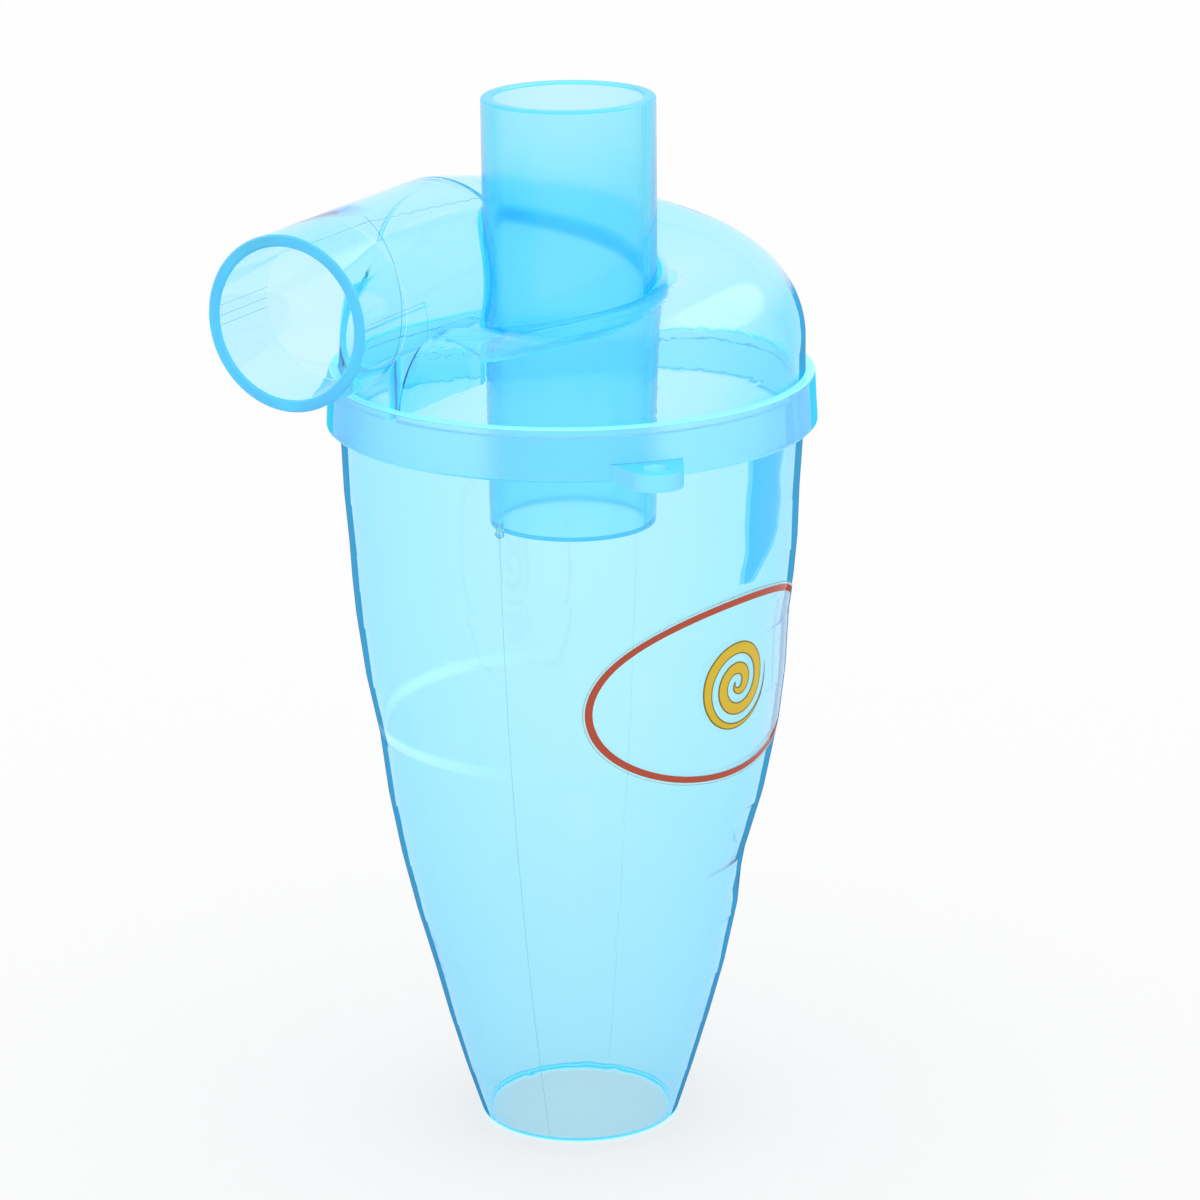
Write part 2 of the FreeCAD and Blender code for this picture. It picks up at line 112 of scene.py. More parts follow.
# The collar and its lug are thicker and milky; a painted glow lies faintly on them, and more strongly where
# they turn from the eye
COLLAR_FOOT = 0.215
COLLAR_EDGE = (0.05, 0.75, 1.0)
COLLAR_EDGE_FROM = 0.30
COLLAR_EDGE_FULL = 0.80
COLLAR_GLOSS = 0.1
COLLAR_CLEARNESS = 0.94
COLLAR_ROUGHNESS = 0.25
COLLAR_GLOW = (0.0, 0.55, 1.0)
COLLAR_GLOW_STRENGTH = 0.21
MILK_GLOW = (0.62, 0.85, 1.0)
MILK_GLOW_STRENGTH = 0.065
LUG_FROM = 0.0718

# Light gathers at the two ends of the cone body: the collar's top and the dust rim
END_DEPTH = 0.0004
END_BLUE = (0.26, 0.80, 1.0)

# Light gathers where two walls of the cover meet: beside the duct, at the far end of its bore
# and round the outlet tube
GATHERED = (0.06, 0.60, 1.0)
GATHERED_STRENGTH = 0.6
GATHERED_CLEARNESS = 0.25
DUCT_CORNER = (-0.0228, -0.0622, 0.245)
DUCT_CORNER_REACH = 0.0026
COVER_BORE_RADIUS = 0.0655
BORE_END_RADIUS = 0.0218
BORE_END_REACH = 0.0014
BORE_END_FROM = -0.047
BORE_END_TOP = 0.2515
PIPE_END_REACH = 0.0009
PIPE_END_FOOT = 0.262
TUBE_JOINT_RADIUS = 0.0254
TUBE_JOINT_REACH = 0.0014

# Moulded walls are never quite even
WAVE_SCALE = 30.0
WAVE_HEIGHT = 0.0004

# Label: an oval border printed on clear film, in the film's own oval, and a plain golden swirl
LABEL_ANGLE = -13.0
LABEL_LEVEL = 0.146
LABEL_WALL_RADIUS = 0.063
LABEL_OUTLINE_SHARE = 0.91
LABEL_ROUGHNESS = 0.05
LABEL_IOR = 1.2
BORDER_HALF_LENGTH = 0.0500
BORDER_HALF_HEIGHT = 0.0267
BORDER_WIDTH = 0.0020
BORDER_RED = (0.68, 0.125, 0.07)
FILM_HALF_LENGTH = 0.05155
FILM_HALF_HEIGHT = 0.02825
FILM_EDGE_SHARE = 0.3
SWIRL_PLACE = (-0.001, 0.001)
SWIRL_PITCH = 0.0062
SWIRL_LINE = 0.0030
SWIRL_OUTLINE = 0.0004
SWIRL_INNER = 0.0016
SWIRL_OUTER = 0.0135
SWIRL_GOLD = (1.0, 0.70, 0.06)
SWIRL_DARK = (0.35, 0.24, 0.03)

# A thicker run down the inside of the cone, above the label: a deeper blue with a wavering edge
RUN_ANGLE = -6.0
RUN_LEFT = -0.0092
RUN_RIGHT = 0.0080
RUN_FOOT = 0.177
RUN_SLANT_FROM = 0.190
RUN_BLUE = (0.10, 0.66, 1.0)
RUN_WAVE_SCALE = 90.0
RUN_WAVE_REACH = 0.004

# The cone's colour deepens a little downwards
CONE_PALE_FROM = 0.16
CONE_DEEP_FROM = 0.03
CONE_DEEP = (0.93, 0.965, 0.99)

# A painted highlight: a pale line glowing along a crease round the left of the cone, between two folds
CREASE_LEVEL = 0.1250
CREASE_REACH = 0.0024
CREASE_ANGLE = -155.0
CREASE_FADE = (0.004, 0.052)
CREASE_HIGHLIGHT = 0.09

# The inlet pipe: x and z of its axis, its outside and its wall
PIPE_AXIS = (-0.0426, 0.2575)
PIPE_RADIUS = 0.025
PIPE_WALL = 0.0034

# Mould seams stand a hair above the wall
SEAM_RADIUS = 0.00008
BACK_SEAM_RADIUS = 0.00005
SEAM_BLUE = (0.60, 0.92, 1.0)
JOINT_BLUE = (0.08, 0.55, 0.88)
SEAM_CLEARNESS = 0.85
SEAM_ROUGHNESS = 0.15
SEAM_IOR = 1.25
SEAM_WAVE_SCALE = 400.0
SEAM_WAVE_HEIGHT = 0.0002

# The cone's parting lines run down its front and its back
RAY_START = 0.2
PARTING_ANGLE = -80.0
PARTING_TOP = 0.208
PARTING_FOOT = 0.002

# The joint ring lies tilted round the inlet pipe
JOINT_MIDDLE = -0.0522
JOINT_TILT = 0.0146
JOINT_TURN = 8
JOINT_ENDS = (-35.0, 75.0)

# The pipe's upper parting line is straight from the mouth on, then wanders back over the crown
PIPE_SEAM_START = -0.086
TOP_SEAM_ANGLE = 69.5
TOP_SEAM_STRAIGHT_END = -0.056
TOP_SEAM_BACK = (-0.054, -0.001)
TOP_SEAM_BACK_ANGLE = 54
TOP_SEAM_SPREAD = 15
TOP_SEAM_WANDER = 0.8
TOP_SEAM_WAVES = 900

# Its side parting line is straight from the mouth on, then turns down
SIDE_SEAM_ANGLE = 3.5
SIDE_SEAM_CORNER = -0.0541
SIDE_SEAM_DOWN = (-2.0, -26.0)
SIDE_SEAM_SLANT = 0.00018

# Three fine lines lie in the pipe's bore
BORE_LINE_ANGLES = (172.0, 180.0, 187.0)
BORE_LINE_END = -0.0617

# The cover's parting line runs up beside the duct, under the pipe
COVER_SEAM_ANGLE = -108.7
COVER_SEAM_LEVELS = (0.231, 0.242)
COVER_SEAM_RAY_START = 0.069

# Drop of plastic that the mould's gate leaves on the front parting line, with a narrow tail upwards
GATE_LEVEL = 0.1986
GATE_RADIUS = 0.0014
GATE_SEGMENTS = (20, 12)
GATE_TAIL_STRETCH = 1.2
GATE_TAIL_NARROWING = 0.55
GATE_FLATNESS = 0.7
GATE_TAIL_FLATNESS = 0.3

# Sockets of Blender's Mix node: the share, then two numbers or two colours, and the results
MIX_SHARE = 0
MIX_NUMBERS = (2, 3)
MIX_COLOURS = (6, 7)
MIX_NUMBER = 0
MIX_COLOUR = 2

# A place on a surface, and what its plastic is like there, with any glow painted on it
Spot = namedtuple("Spot", "place x y z")
Look = namedtuple("Look", "colour clearness roughness milky gathered crease", defaults=(0.0, 0.0, 0.0))


def make_camera():
    data = bpy.data.cameras.new("photo_camera")
    data.lens = LENS_MM
    data.sensor_width = SENSOR_MM
    data.sensor_fit = "HORIZONTAL"
    camera = bpy.data.objects.new("photo_camera", data)
    bpy.context.scene.collection.objects.link(camera)
    turn = Matrix.Rotation(math.radians(CAMERA_TURN), 4, "Z")
    pitch = Matrix.Rotation(math.radians(90 - CAMERA_PITCH), 4, "X")
    roll = Matrix.Rotation(math.radians(CAMERA_ROLL), 4, "Z")
    camera.matrix_world = Matrix.Translation(CAMERA_PLACE) @ turn @ pitch @ roll
    bpy.context.scene.camera = camera


def feed(tree, socket, value):
    """Link a socket to a socket, or set a plain number or colour on it."""
    if isinstance(value, bpy.types.NodeSocket):
        tree.links.new(value, socket)
    elif isinstance(value, tuple):
        socket.default_value = value + (1,)
    else:
        socket.default_value = value


def calc(tree, operation, *values):
    node = tree.nodes.new("ShaderNodeMath")
    node.operation = operation
    for socket, value in zip(node.inputs, values):
        feed(tree, socket, value)
    return node.outputs[0]


def both(tree, first, *others):
    """1 where every share is 1."""
    for other in others:
        first = calc(tree, "MULTIPLY", first, other)
    return first


def either(tree, first, *others):
    """1 where any share is 1."""
    for other in others:
        first = calc(tree, "MAXIMUM", first, other)
    return first


def above(tree, value, limit):
    return calc(tree, "GREATER_THAN", value, limit)


def below(tree, value, limit):
    return calc(tree, "LESS_THAN", value, limit)


def mixed(tree, share, low, high):
    """Number from low at share 0 to high at share 1."""
    if share == 0.0:
        return low
    node = tree.nodes.new("ShaderNodeMix")
    feed(tree, node.inputs[MIX_SHARE], share)
    for socket, value in zip(MIX_NUMBERS, (low, high)):
        feed(tree, node.inputs[socket], value)
    return node.outputs[MIX_NUMBER]


def blend(tree, share, low, high, kind="MIX"):
    """Colour from low at share 0 to high at share 1, or to their product."""
    if share == 0.0:
        return low
    node = tree.nodes.new("ShaderNodeMix")
    node.data_type = "RGBA"
    node.blend_type = kind
    feed(tree, node.inputs[MIX_SHARE], share)
    for socket, value in zip(MIX_COLOURS, (low, high)):
        feed(tree, node.inputs[socket], value)
    return node.outputs[MIX_COLOUR]


def ease(tree, value, start, end):
    """0 up to start, 1 from end on, smooth between them."""
    node = tree.nodes.new("ShaderNodeMapRange")
    node.interpolation_type = "SMOOTHSTEP"
    feed(tree, node.inputs["Value"], value)
    node.inputs["From Min"].default_value = start
    node.inputs["From Max"].default_value = end
    return node.outputs["Result"]


def near(tree, value, target, reach):
    """1 close to the target, 0 from this reach on."""
    return ease(tree, calc(tree, "ABSOLUTE", calc(tree, "SUBTRACT", value, target)), reach, reach / 2)


def along_way(tree, at, angle):
    """Distance from the cyclone axis along the level way at this azimuth."""
    turn = math.radians(angle)
    return calc(tree, "ADD", calc(tree, "MULTIPLY", at.x, math.cos(turn)),
                calc(tree, "MULTIPLY", at.y, math.sin(turn)))


def right_of(tree, at, angle):
    """Distance to the right of the cyclone axis, seen from outside at this azimuth."""
    return along_way(tree, at, angle + 90)


def from_line(tree, at, target, along):
    """Distance from a line through the target along one axis: 0, 1 or 2 for x, y or z."""
    keep = [1.0, 1.0, 1.0]
    keep[along] = 0.0
    flat = tree.nodes.new("ShaderNodeVectorMath")
    flat.operation = "MULTIPLY"
    tree.links.new(at.place, flat.inputs[0])
    flat.inputs[1].default_value = keep
    away = tree.nodes.new("ShaderNodeVectorMath")
    away.operation = "DISTANCE"
    tree.links.new(flat.outputs[0], away.inputs[0])
    away.inputs[1].default_value = [part * share for part, share in zip(target, keep)]
    return away.outputs["Value"]


def from_axis(tree, at):
    return from_line(tree, at, (0.0, 0.0, 0.0), 2)


def new_material(name):
    material = bpy.data.materials.new(name)
    material.use_nodes = True
    material.cycles.emission_sampling = "NONE"
    return material, material.node_tree, material.node_tree.nodes["Principled BSDF"]


def spot_of(tree):
    """Position on the part, in metres, as a vector and as its three numbers."""
    place = tree.nodes.new("ShaderNodeTexCoord").outputs["Object"]
    parts = tree.nodes.new("ShaderNodeSeparateXYZ")
    tree.links.new(place, parts.inputs[0])
    return Spot(place, *parts.outputs)


def waves(tree, at, scale):
    noise = tree.nodes.new("ShaderNodeTexNoise")
    noise.inputs["Scale"].default_value = scale
    noise.inputs["Detail"].default_value = 0.0
    tree.links.new(at.place, noise.inputs["Vector"])
    return noise.outputs[0]


def wavy_normal(tree, at, scale, height):
    bump = tree.nodes.new("ShaderNodeBump")
    bump.inputs["Distance"].default_value = height
    tree.links.new(waves(tree, at, scale), bump.inputs["Height"])
    return bump.outputs[0]


def facing_out(tree, at):
    """1 on upright faces that look away from the cyclone axis, seen from either side."""
    surface = tree.nodes.new("ShaderNodeNewGeometry")
    level = tree.nodes.new("ShaderNodeVectorMath")
    level.operation = "MULTIPLY"
    tree.links.new(at.place, level.inputs[0])
    level.inputs[1].default_value = (1, 1, 0)
    dot = tree.nodes.new("ShaderNodeVectorMath")
    dot.operation = "DOT_PRODUCT"
    tree.links.new(surface.outputs["True Normal"], dot.inputs[0])
    tree.links.new(level.outputs[0], dot.inputs[1])
    side = calc(tree, "MULTIPLY_ADD", surface.outputs["Backfacing"], -2.0, 1.0)
    out = above(tree, calc(tree, "MULTIPLY", dot.outputs["Value"], side), 0.0)
    parts = tree.nodes.new("ShaderNodeSeparateXYZ")
    tree.links.new(surface.outputs["True Normal"], parts.inputs[0])
    return both(tree, out, ease(tree, calc(tree, "ABSOLUTE", parts.outputs[2]), LEVEL, UPRIGHT))


def turned_away(tree, normal=None):
    """0 where a surface faces the eye, 1 where it turns out of sight."""
    weight = tree.nodes.new("ShaderNodeLayerWeight")
    weight.inputs["Blend"].default_value = 0.5
    if normal:
        tree.links.new(normal, weight.inputs["Normal"])
    return weight.outputs["Facing"]


def edge_colour(tree, turned, stops):
    node = tree.nodes.new("ShaderNodeValToRGB")
    ramp = node.color_ramp
    tree.links.new(turned, node.inputs[0])
    for index, (position, colour) in enumerate(stops):
        stop = ramp.elements[index] if index < len(ramp.elements) else ramp.elements.new(position)
        stop.position = position
        stop.color = colour + (1,)
    return node.outputs["Color"]


def clear_plastic(name, density, edge_stops, edge_share, gather_colour, frosted, body):
    """Clear plastic: body gives its look from place to place, and frosted its frosted parts."""
    material, tree, shader = new_material(name)
    at = spot_of(tree)
    look = body(tree, at)
    frost = frosted(tree, at)
    normal = wavy_normal(tree, at, WAVE_SCALE, WAVE_HEIGHT)
    turned = turned_away(tree, normal)
    outer = facing_out(tree, at)
    edge = both(tree, above(tree, turned, edge_share), outer)
    collar_turned = ease(tree, turned, COLLAR_EDGE_FROM, COLLAR_EDGE_FULL)

    milky_edge = blend(tree, collar_turned, WHITE, COLLAR_EDGE)
    edge_tint = blend(tree, look.milky, edge_colour(tree, turned, edge_stops), milky_edge)
    colour = blend(tree, 1.0, look.colour, blend(tree, outer, WHITE, edge_tint), "MULTIPLY")
    colour = blend(tree, look.gathered, blend(tree, frost, colour, RIM_BLUE), gather_colour)
    clearness = mixed(tree, frost, look.clearness, RIM_CLEARNESS)
    clearness = mixed(tree, look.gathered, clearness, GATHERED_CLEARNESS)
    gloss = mixed(tree, look.milky, GLOSS, COLLAR_GLOSS)

    # Painted glow: a trace on every face, more on the milky collar, most on the frosted rims
    glow_colour = blend(tree, look.milky, SCATTER, blend(tree, collar_turned, MILK_GLOW, COLLAR_GLOW))
    # Painted highlight along the crease: its glow turns white here and takes its own strength below
    glow_colour = blend(tree, look.crease, glow_colour, WHITE)
    # Painted glow of the milky collar, stronger where it turns from the eye
    milk_glow = mixed(tree, collar_turned, MILK_GLOW_STRENGTH, COLLAR_GLOW_STRENGTH)
    glow = mixed(tree, frost, mixed(tree, look.milky, SCATTER_STRENGTH, milk_glow), RIM_SCATTER_STRENGTH)
    glow = mixed(tree, look.crease, glow, CREASE_HIGHLIGHT)

    feed(tree, shader.inputs["Base Color"], colour)
    feed(tree, shader.inputs["Transmission Weight"], mixed(tree, edge, clearness, EDGE_CLEARNESS))
    feed(tree, shader.inputs["Roughness"], mixed(tree, frost, look.roughness, RIM_ROUGHNESS))
    feed(tree, shader.inputs["Specular IOR Level"], mixed(tree, edge, gloss, 0.0))
    feed(tree, shader.inputs["Emission Color"], blend(tree, look.gathered, glow_colour, gather_colour))
    feed(tree, shader.inputs["Emission Strength"], mixed(tree, look.gathered, glow, GATHERED_STRENGTH))
    feed(tree, shader.inputs["Normal"], normal)
    shader.inputs["IOR"].default_value = IOR
    volume = tree.nodes.new("ShaderNodeVolumeAbsorption")
    volume.inputs["Color"].default_value = ABSORB + (1,)
    volume.inputs["Density"].default_value = density
    tree.links.new(volume.outputs["Volume"], tree.nodes["Material Output"].inputs["Volume"])
    return material


def dust_rim_and_lug(tree, at):
    return either(tree, below(tree, at.z, RIM_DEPTH), above(tree, from_axis(tree, at), LUG_FROM))


def inlet_rim(tree, at):
    return below(tree, at.y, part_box("volute_cover")[0][1] + RIM_DEPTH)


def outlet_rims(tree, at):
    low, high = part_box("outlet_tube")
    return either(tree, above(tree, at.z, high[2] - RIM_DEPTH), below(tree, at.z, low[2] + RIM_DEPTH))


def thicker_run(tree, at):
    """1 on the run down the inside of the cone, whose right side slants in towards its foot."""
    waver = calc(tree, "MULTIPLY_ADD", waves(tree, at, RUN_WAVE_SCALE), RUN_WAVE_REACH, -RUN_WAVE_REACH / 2)
    right = calc(tree, "ADD", right_of(tree, at, RUN_ANGLE), waver)
    slant = calc(tree, "MAXIMUM", calc(tree, "SUBTRACT", RUN_SLANT_FROM, at.z), 0.0)
    across = both(tree, above(tree, right, RUN_LEFT), below(tree, calc(tree, "ADD", right, slant), RUN_RIGHT))
    upward = both(tree, above(tree, at.z, RUN_FOOT), below(tree, at.z, COLLAR_FOOT - RIM_DEPTH))
    return both(tree, across, above(tree, at.x, 0.0), upward)


def cone_body(tree, at):
    """Deeper towards the foot, with the thicker run, a painted highlight along the crease and a milky collar.
    """
    low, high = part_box("cone_body")
    colour = blend(tree, ease(tree, at.z, CONE_DEEP_FROM, CONE_PALE_FROM), CONE_DEEP, WHITE)
    colour = blend(tree, thicker_run(tree, at), colour, RUN_BLUE)
    collar = above(tree, at.z, COLLAR_FOOT - RIM_DEPTH)
    ends = either(tree, above(tree, at.z, high[2] - END_DEPTH), below(tree, at.z, low[2] + END_DEPTH))
    # Painted highlight: a pale line along the crease on the left of the cone
    crease = both(tree, near(tree, at.z, CREASE_LEVEL, CREASE_REACH),
                  ease(tree, along_way(tree, at, CREASE_ANGLE), *CREASE_FADE))
    return Look(blend(tree, collar, colour, WHITE), mixed(tree, collar, CLEAR, COLLAR_CLEARNESS),
                mixed(tree, collar, SMOOTH, COLLAR_ROUGHNESS), collar, ends, crease)


def cover_body(tree, at):
    """Clear, with light gathered where its walls meet."""
    from_corner = from_line(tree, at, DUCT_CORNER, 2)
    from_pipe = from_line(tree, at, (PIPE_AXIS[0], 0.0, PIPE_AXIS[1]), 1)
    corner = both(tree, near(tree, from_corner, 0.0, DUCT_CORNER_REACH), below(tree, at.z, DUCT_CORNER[2]))
    bore_end = both(tree, near(tree, from_axis(tree, at), COVER_BORE_RADIUS, BORE_END_REACH),
                    near(tree, from_pipe, BORE_END_RADIUS, BORE_END_REACH), below(tree, at.x, BORE_END_FROM),
                    below(tree, at.z, BORE_END_TOP), below(tree, at.y, 0.0))
    joint = near(tree, from_axis(tree, at), TUBE_JOINT_RADIUS, TUBE_JOINT_REACH)
    pipe_end = both(tree, near(tree, at.y, 0.0, PIPE_END_REACH), above(tree, at.z, PIPE_END_FOOT),
                    below(tree, at.x, 0.0))
    return Look(WHITE, CLEAR, SMOOTH, gathered=either(tree, corner, bore_end, joint, pipe_end))


def tube_body(tree, at):
    share = ease(tree, at.z, TUBE_DEEP_FROM, TUBE_PALE_FROM)
    return Look(blend(tree, share, TUBE_DEEP, WHITE), CLEAR, TUBE_ROUGHNESS)


def oval_share(tree, along, up, half_length, half_height):
    """Below 1 inside an oval, above 1 outside it."""
    first = calc(tree, "POWER", calc(tree, "DIVIDE", along, half_length), 2.0)
    second = calc(tree, "POWER", calc(tree, "DIVIDE", up, half_height), 2.0)
    return calc(tree, "ADD", first, second)


def swirl(tree, along, up, line):
    """1 on a spiral line of this width, 0 beside it."""
    right = calc(tree, "SUBTRACT", along, SWIRL_PLACE[0])
    over = calc(tree, "SUBTRACT", up, SWIRL_PLACE[1])
    squares = calc(tree, "ADD", calc(tree, "POWER", right, 2.0), calc(tree, "POWER", over, 2.0))
    away = calc(tree, "SQRT", squares)
    angle = calc(tree, "DIVIDE", calc(tree, "ARCTAN2", over, right), 2 * math.pi)
    turns = calc(tree, "SUBTRACT", calc(tree, "DIVIDE", away, SWIRL_PITCH), angle)
    offset = calc(tree, "ABSOLUTE", calc(tree, "SUBTRACT", calc(tree, "FRACT", turns), 0.5))
    spare = (line - SWIRL_LINE) / 2
    return both(tree, below(tree, offset, line / SWIRL_PITCH / 2), above(tree, away, SWIRL_INNER - spare),
                below(tree, away, SWIRL_OUTER + spare))


def label_film():
    """Clear film with a printed oval border and a plain golden swirl."""
    material, tree, shader = new_material("label_film")
    at = spot_of(tree)
    turn = calc(tree, "ARCSINE", calc(tree, "DIVIDE", right_of(tree, at, LABEL_ANGLE), LABEL_WALL_RADIUS))
    along = calc(tree, "MULTIPLY", turn, LABEL_WALL_RADIUS)
    up = calc(tree, "SUBTRACT", at.z, LABEL_LEVEL)
    half = BORDER_WIDTH / 2
    outer = oval_share(tree, along, up, BORDER_HALF_LENGTH + half, BORDER_HALF_HEIGHT + half)
    inner = oval_share(tree, along, up, BORDER_HALF_LENGTH - half, BORDER_HALF_HEIGHT - half)
    border = both(tree, below(tree, outer, 1.0), above(tree, inner, 1.0))
    gold = swirl(tree, along, up, SWIRL_LINE)
    dark = swirl(tree, along, up, SWIRL_LINE + 2 * SWIRL_OUTLINE)
    film_edge = above(tree, oval_share(tree, along, up, FILM_HALF_LENGTH, FILM_HALF_HEIGHT), 1.0)
    printed = either(tree, border, dark, calc(tree, "MULTIPLY", film_edge, FILM_EDGE_SHARE))
    ink = blend(tree, gold, blend(tree, border, SWIRL_DARK, BORDER_RED), SWIRL_GOLD)

    turned = turned_away(tree)
    edge = above(tree, turned, WALL_SHARE)
    outline = above(tree, turned, LABEL_OUTLINE_SHARE)
    colour = blend(tree, printed, blend(tree, edge, WHITE, LAVENDER), ink)
    opaque = either(tree, printed, outline)
    feed(tree, shader.inputs["Base Color"], blend(tree, outline, colour, WALL_BLUE))
    feed(tree, shader.inputs["Transmission Weight"], calc(tree, "SUBTRACT", 1.0, opaque))
    feed(tree, shader.inputs["Specular IOR Level"], mixed(tree, edge, GLOSS, 0.0))
    shader.inputs["Roughness"].default_value = LABEL_ROUGHNESS
    shader.inputs["IOR"].default_value = LABEL_IOR
    return material


def seam_plastic(name, colour):
    material, tree, shader = new_material(name)
    shader.inputs["Base Color"].default_value = colour + (1,)
    shader.inputs["Transmission Weight"].default_value = SEAM_CLEARNESS
    shader.inputs["Roughness"].default_value = SEAM_ROUGHNESS
    shader.inputs["IOR"].default_value = SEAM_IOR
    feed(tree, shader.inputs["Normal"], wavy_normal(tree, spot_of(tree), SEAM_WAVE_SCALE, SEAM_WAVE_HEIGHT))
    return material


def dress():
    looks = {
        "cone_body": clear_plastic("cone_plastic", CONE_DENSITY, CONE_EDGE, WALL_SHARE, END_BLUE,
                                   dust_rim_and_lug, cone_body),
        "volute_cover": clear_plastic("cover_plastic", COVER_DENSITY, COVER_EDGE, WALL_SHARE, GATHERED,
                                      inlet_rim, cover_body),
        "outlet_tube": clear_plastic("tube_plastic", TUBE_DENSITY, TUBE_EDGE, TUBE_SHARE, GATHERED,
                                     outlet_rims, tube_body),
        "label": label_film(),
    }
    for name, material in looks.items():
        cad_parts[name].material_slots[0].material = material


def add_piece(name, data, material, place=(0, 0, 0), turn=0.0):
    data.materials.append(material)
    piece = bpy.data.objects.new(name, data)
    piece.location = place
    piece.rotation_euler = (0, 0, turn)
    bpy.context.scene.collection.objects.link(piece)
    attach(piece, "root")


def add_seam(name, points, material, radius=SEAM_RADIUS):
    """Thin raised line through points, as a mould leaves it."""
    curve = bpy.data.curves.new(name, "CURVE")
    curve.dimensions = "3D"
    curve.bevel_depth = radius
    curve.bevel_resolution = 1
    line = curve.splines.new("POLY")
    line.points.add(len(points) - 1)
    for knot, point in zip(line.points, points):
        knot.co = tuple(point) + (1,)
    add_piece(name, curve, material)


def on_pipe(angle, y, radius=PIPE_RADIUS):
    turn = math.radians(angle)
    return Vector((PIPE_AXIS[0] + radius * math.cos(turn), y, PIPE_AXIS[1] + radius * math.sin(turn)))


def wall_points(node, angle, levels, start=RAY_START):
    """Points on the outer wall at one azimuth, met by rays from this far off the axis."""
    turn = math.radians(angle)
    out = Vector((math.cos(turn), math.sin(turn), 0))
    hits = [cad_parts[node].ray_cast(out * start + Vector((0, 0, level)), -out) for level in levels]
    return [place for hit, place, _normal, _index in hits if hit]


def steps(start, end, count):
    return [start + (end - start) * index / count for index in range(count + 1)]


def joint_ring(angle):
    return on_pipe(angle, JOINT_MIDDLE - JOINT_TILT * math.cos(math.radians(angle + JOINT_TURN)))


def top_seam_back(y):
    """Point on the crown, where the parting line wanders back from its straight part."""
    spread = TOP_SEAM_SPREAD * (y / TOP_SEAM_STRAIGHT_END)
    return on_pipe(TOP_SEAM_BACK_ANGLE + spread + TOP_SEAM_WANDER * math.sin(y * TOP_SEAM_WAVES), y)


def make_seams():
    material = seam_plastic("seam_plastic", SEAM_BLUE)
    deeper = seam_plastic("joint_plastic", JOINT_BLUE)
    for side, angle, radius in (("front", PARTING_ANGLE, SEAM_RADIUS),
                                ("back", PARTING_ANGLE + 180, BACK_SEAM_RADIUS)):
        line = wall_points("cone_body", angle, steps(PARTING_TOP, PARTING_FOOT, 60))
        add_seam("cone_parting_" + side, line, material, radius)
    add_seam("pipe_joint", [joint_ring(angle) for angle in steps(*JOINT_ENDS, 30)], deeper)
    top = [on_pipe(TOP_SEAM_ANGLE, y) for y in steps(PIPE_SEAM_START, TOP_SEAM_STRAIGHT_END, 6)]
    top += [top_seam_back(y) for y in steps(*TOP_SEAM_BACK, 24)]
    add_seam("pipe_parting_top", top, material)
    low = [on_pipe(SIDE_SEAM_ANGLE, y) for y in steps(PIPE_SEAM_START, SIDE_SEAM_CORNER, 8)]
    low += [on_pipe(angle, SIDE_SEAM_CORNER + (SIDE_SEAM_ANGLE - angle) * SIDE_SEAM_SLANT)
            for angle in steps(*SIDE_SEAM_DOWN, 6)]
    add_seam("pipe_parting_side", low, material)
    for index, angle in enumerate(BORE_LINE_ANGLES):
        line = [on_pipe(angle, y, PIPE_RADIUS - PIPE_WALL) for y in steps(PIPE_SEAM_START, BORE_LINE_END, 4)]
        add_seam("bore_line_%d" % index, line, material)
    line = wall_points("volute_cover", COVER_SEAM_ANGLE, steps(*COVER_SEAM_LEVELS, 6), COVER_SEAM_RAY_START)
    add_seam("cover_parting", line, material)


def ball(radius, around, over):
    """Corners of a ball, its top first and then ring by ring down to its foot, and its faces."""
    corners = [Vector((0, 0, radius))]
    for fall in steps(0.0, math.pi, over)[1:-1]:
        for turn in steps(0.0, 2 * math.pi, around)[:-1]:
            reach = radius * math.sin(fall)
            corners.append(Vector((reach * math.cos(turn), reach * math.sin(turn), radius * math.cos(fall))))
    corners.append(Vector((0, 0, -radius)))
    faces = []
    for step in range(around):
        left, right = 1 + step, 1 + (step + 1) % around
        faces.append((0, left, right))
        for _ring in range(over - 2):
            faces.append((left, left + around, right + around, right))
            left, right = left + around, right + around
        faces.append((left, len(corners) - 1, right))
    return corners, faces


def make_gate():
    """Drop on the front parting line: a flattened ball with a narrow tail."""
    corners, faces = ball(GATE_RADIUS, *GATE_SEGMENTS)
    for corner in corners:
        tail = max(0.0, corner.z) / GATE_RADIUS
        corner.z *= 1.0 + GATE_TAIL_STRETCH * tail
        corner.x *= 1.0 - GATE_TAIL_NARROWING * tail
        corner.y *= GATE_FLATNESS - GATE_TAIL_FLATNESS * tail
    mesh = bpy.data.meshes.new("gate_drop")
    mesh.from_pydata(corners, [], faces)
    mesh.shade_smooth()
    place = wall_points("cone_body", PARTING_ANGLE, [GATE_LEVEL])[0]
    turn = math.radians(PARTING_ANGLE + 90)
    add_piece("gate_drop", mesh, bpy.data.materials["seam_plastic"], place, turn)


def seen_rays(tree):
    """1 for rays that come from the camera, a reflection or a clear surface, 0 for the rest."""
    path = tree.nodes.new("ShaderNodeLightPath").outputs
    return either(tree, path["Is Camera Ray"], path["Is Glossy Ray"], path["Is Transmission Ray"])


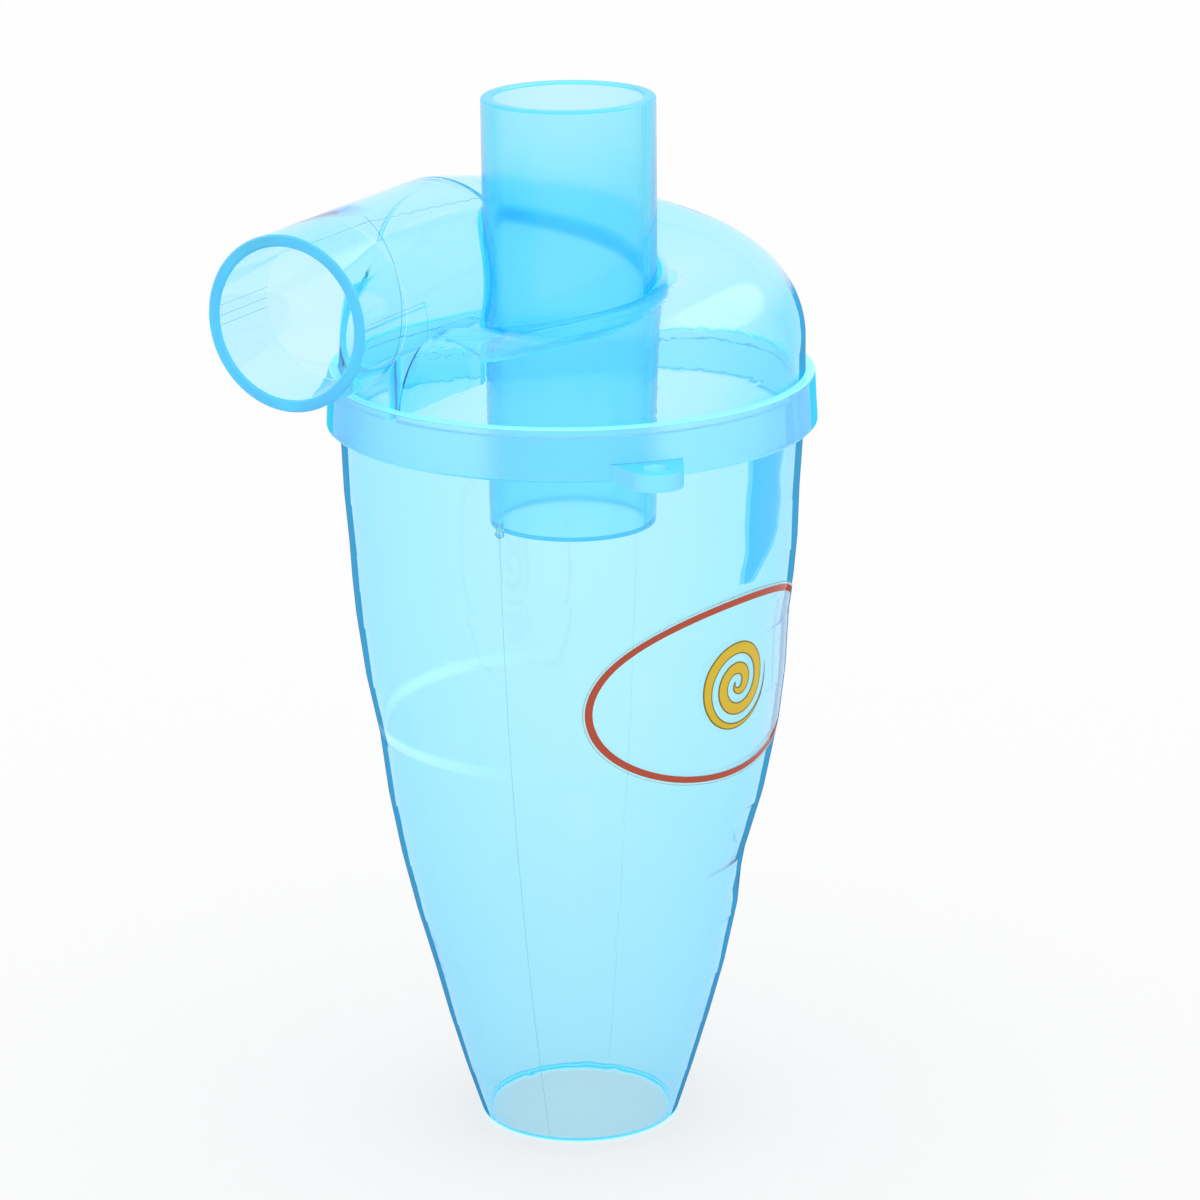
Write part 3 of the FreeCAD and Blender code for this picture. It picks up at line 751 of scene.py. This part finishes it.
def make_floor():
    side = FLOOR_HALF_SIDE
    corners = [(x * side, y * side, FLOOR_LEVEL) for x, y in ((-1, -1), (1, -1), (1, 1), (-1, 1))]
    mesh = bpy.data.meshes.new("floor")
    mesh.from_pydata(corners, [], [(0, 1, 2, 3)])
    floor = bpy.data.objects.new("floor", mesh)
    bpy.context.scene.collection.objects.link(floor)
    material, tree, shader = new_material("floor")
    shader.inputs["Base Color"].default_value = (FLOOR_GREY, FLOOR_GREY, FLOOR_GREY, 1)
    shader.inputs["Roughness"].default_value = FLOOR_ROUGHNESS
    shader.inputs["Specular IOR Level"].default_value = 0.0
    shader.inputs["Emission Color"].default_value = (1, 1, 1, 1)
    glow = calc(tree, "MULTIPLY", seen_rays(tree), FLOOR_GLOW)
    feed(tree, shader.inputs["Emission Strength"], glow)
    mesh.materials.append(material)


def make_sky():
    """White all round, with a brighter window that only first reflections show."""
    world = bpy.data.worlds.new("studio")
    world.use_nodes = True
    bpy.context.scene.world = world
    tree = world.node_tree
    world.cycles.sampling_method = "NONE"
    background = tree.nodes["Background"]
    background.inputs["Color"].default_value = (1, 1, 1, 1)
    toward = tree.nodes.new("ShaderNodeVectorMath")
    toward.operation = "DOT_PRODUCT"
    tree.links.new(tree.nodes.new("ShaderNodeTexCoord").outputs["Generated"], toward.inputs[0])
    toward.inputs[1].default_value = Vector(WINDOW_WAY).normalized()
    path = tree.nodes.new("ShaderNodeLightPath").outputs
    reflected = both(tree, path["Is Glossy Ray"], below(tree, path["Transmission Depth"], 0.5))
    window = both(tree, ease(tree, toward.outputs["Value"], WINDOW_EDGE, WINDOW_CORE), reflected)
    feed(tree, background.inputs["Strength"], mixed(tree, window, SKY_STRENGTH, WINDOW_STRENGTH))
    cycles = bpy.context.scene.cycles
    cycles.max_bounces = BOUNCES
    cycles.transmission_bounces = BOUNCES
    cycles.glossy_bounces = BOUNCES


make_camera()
dress()
make_seams()
make_gate()
make_floor()
make_sky()
bpy.context.scene.view_settings.view_transform = "Standard"
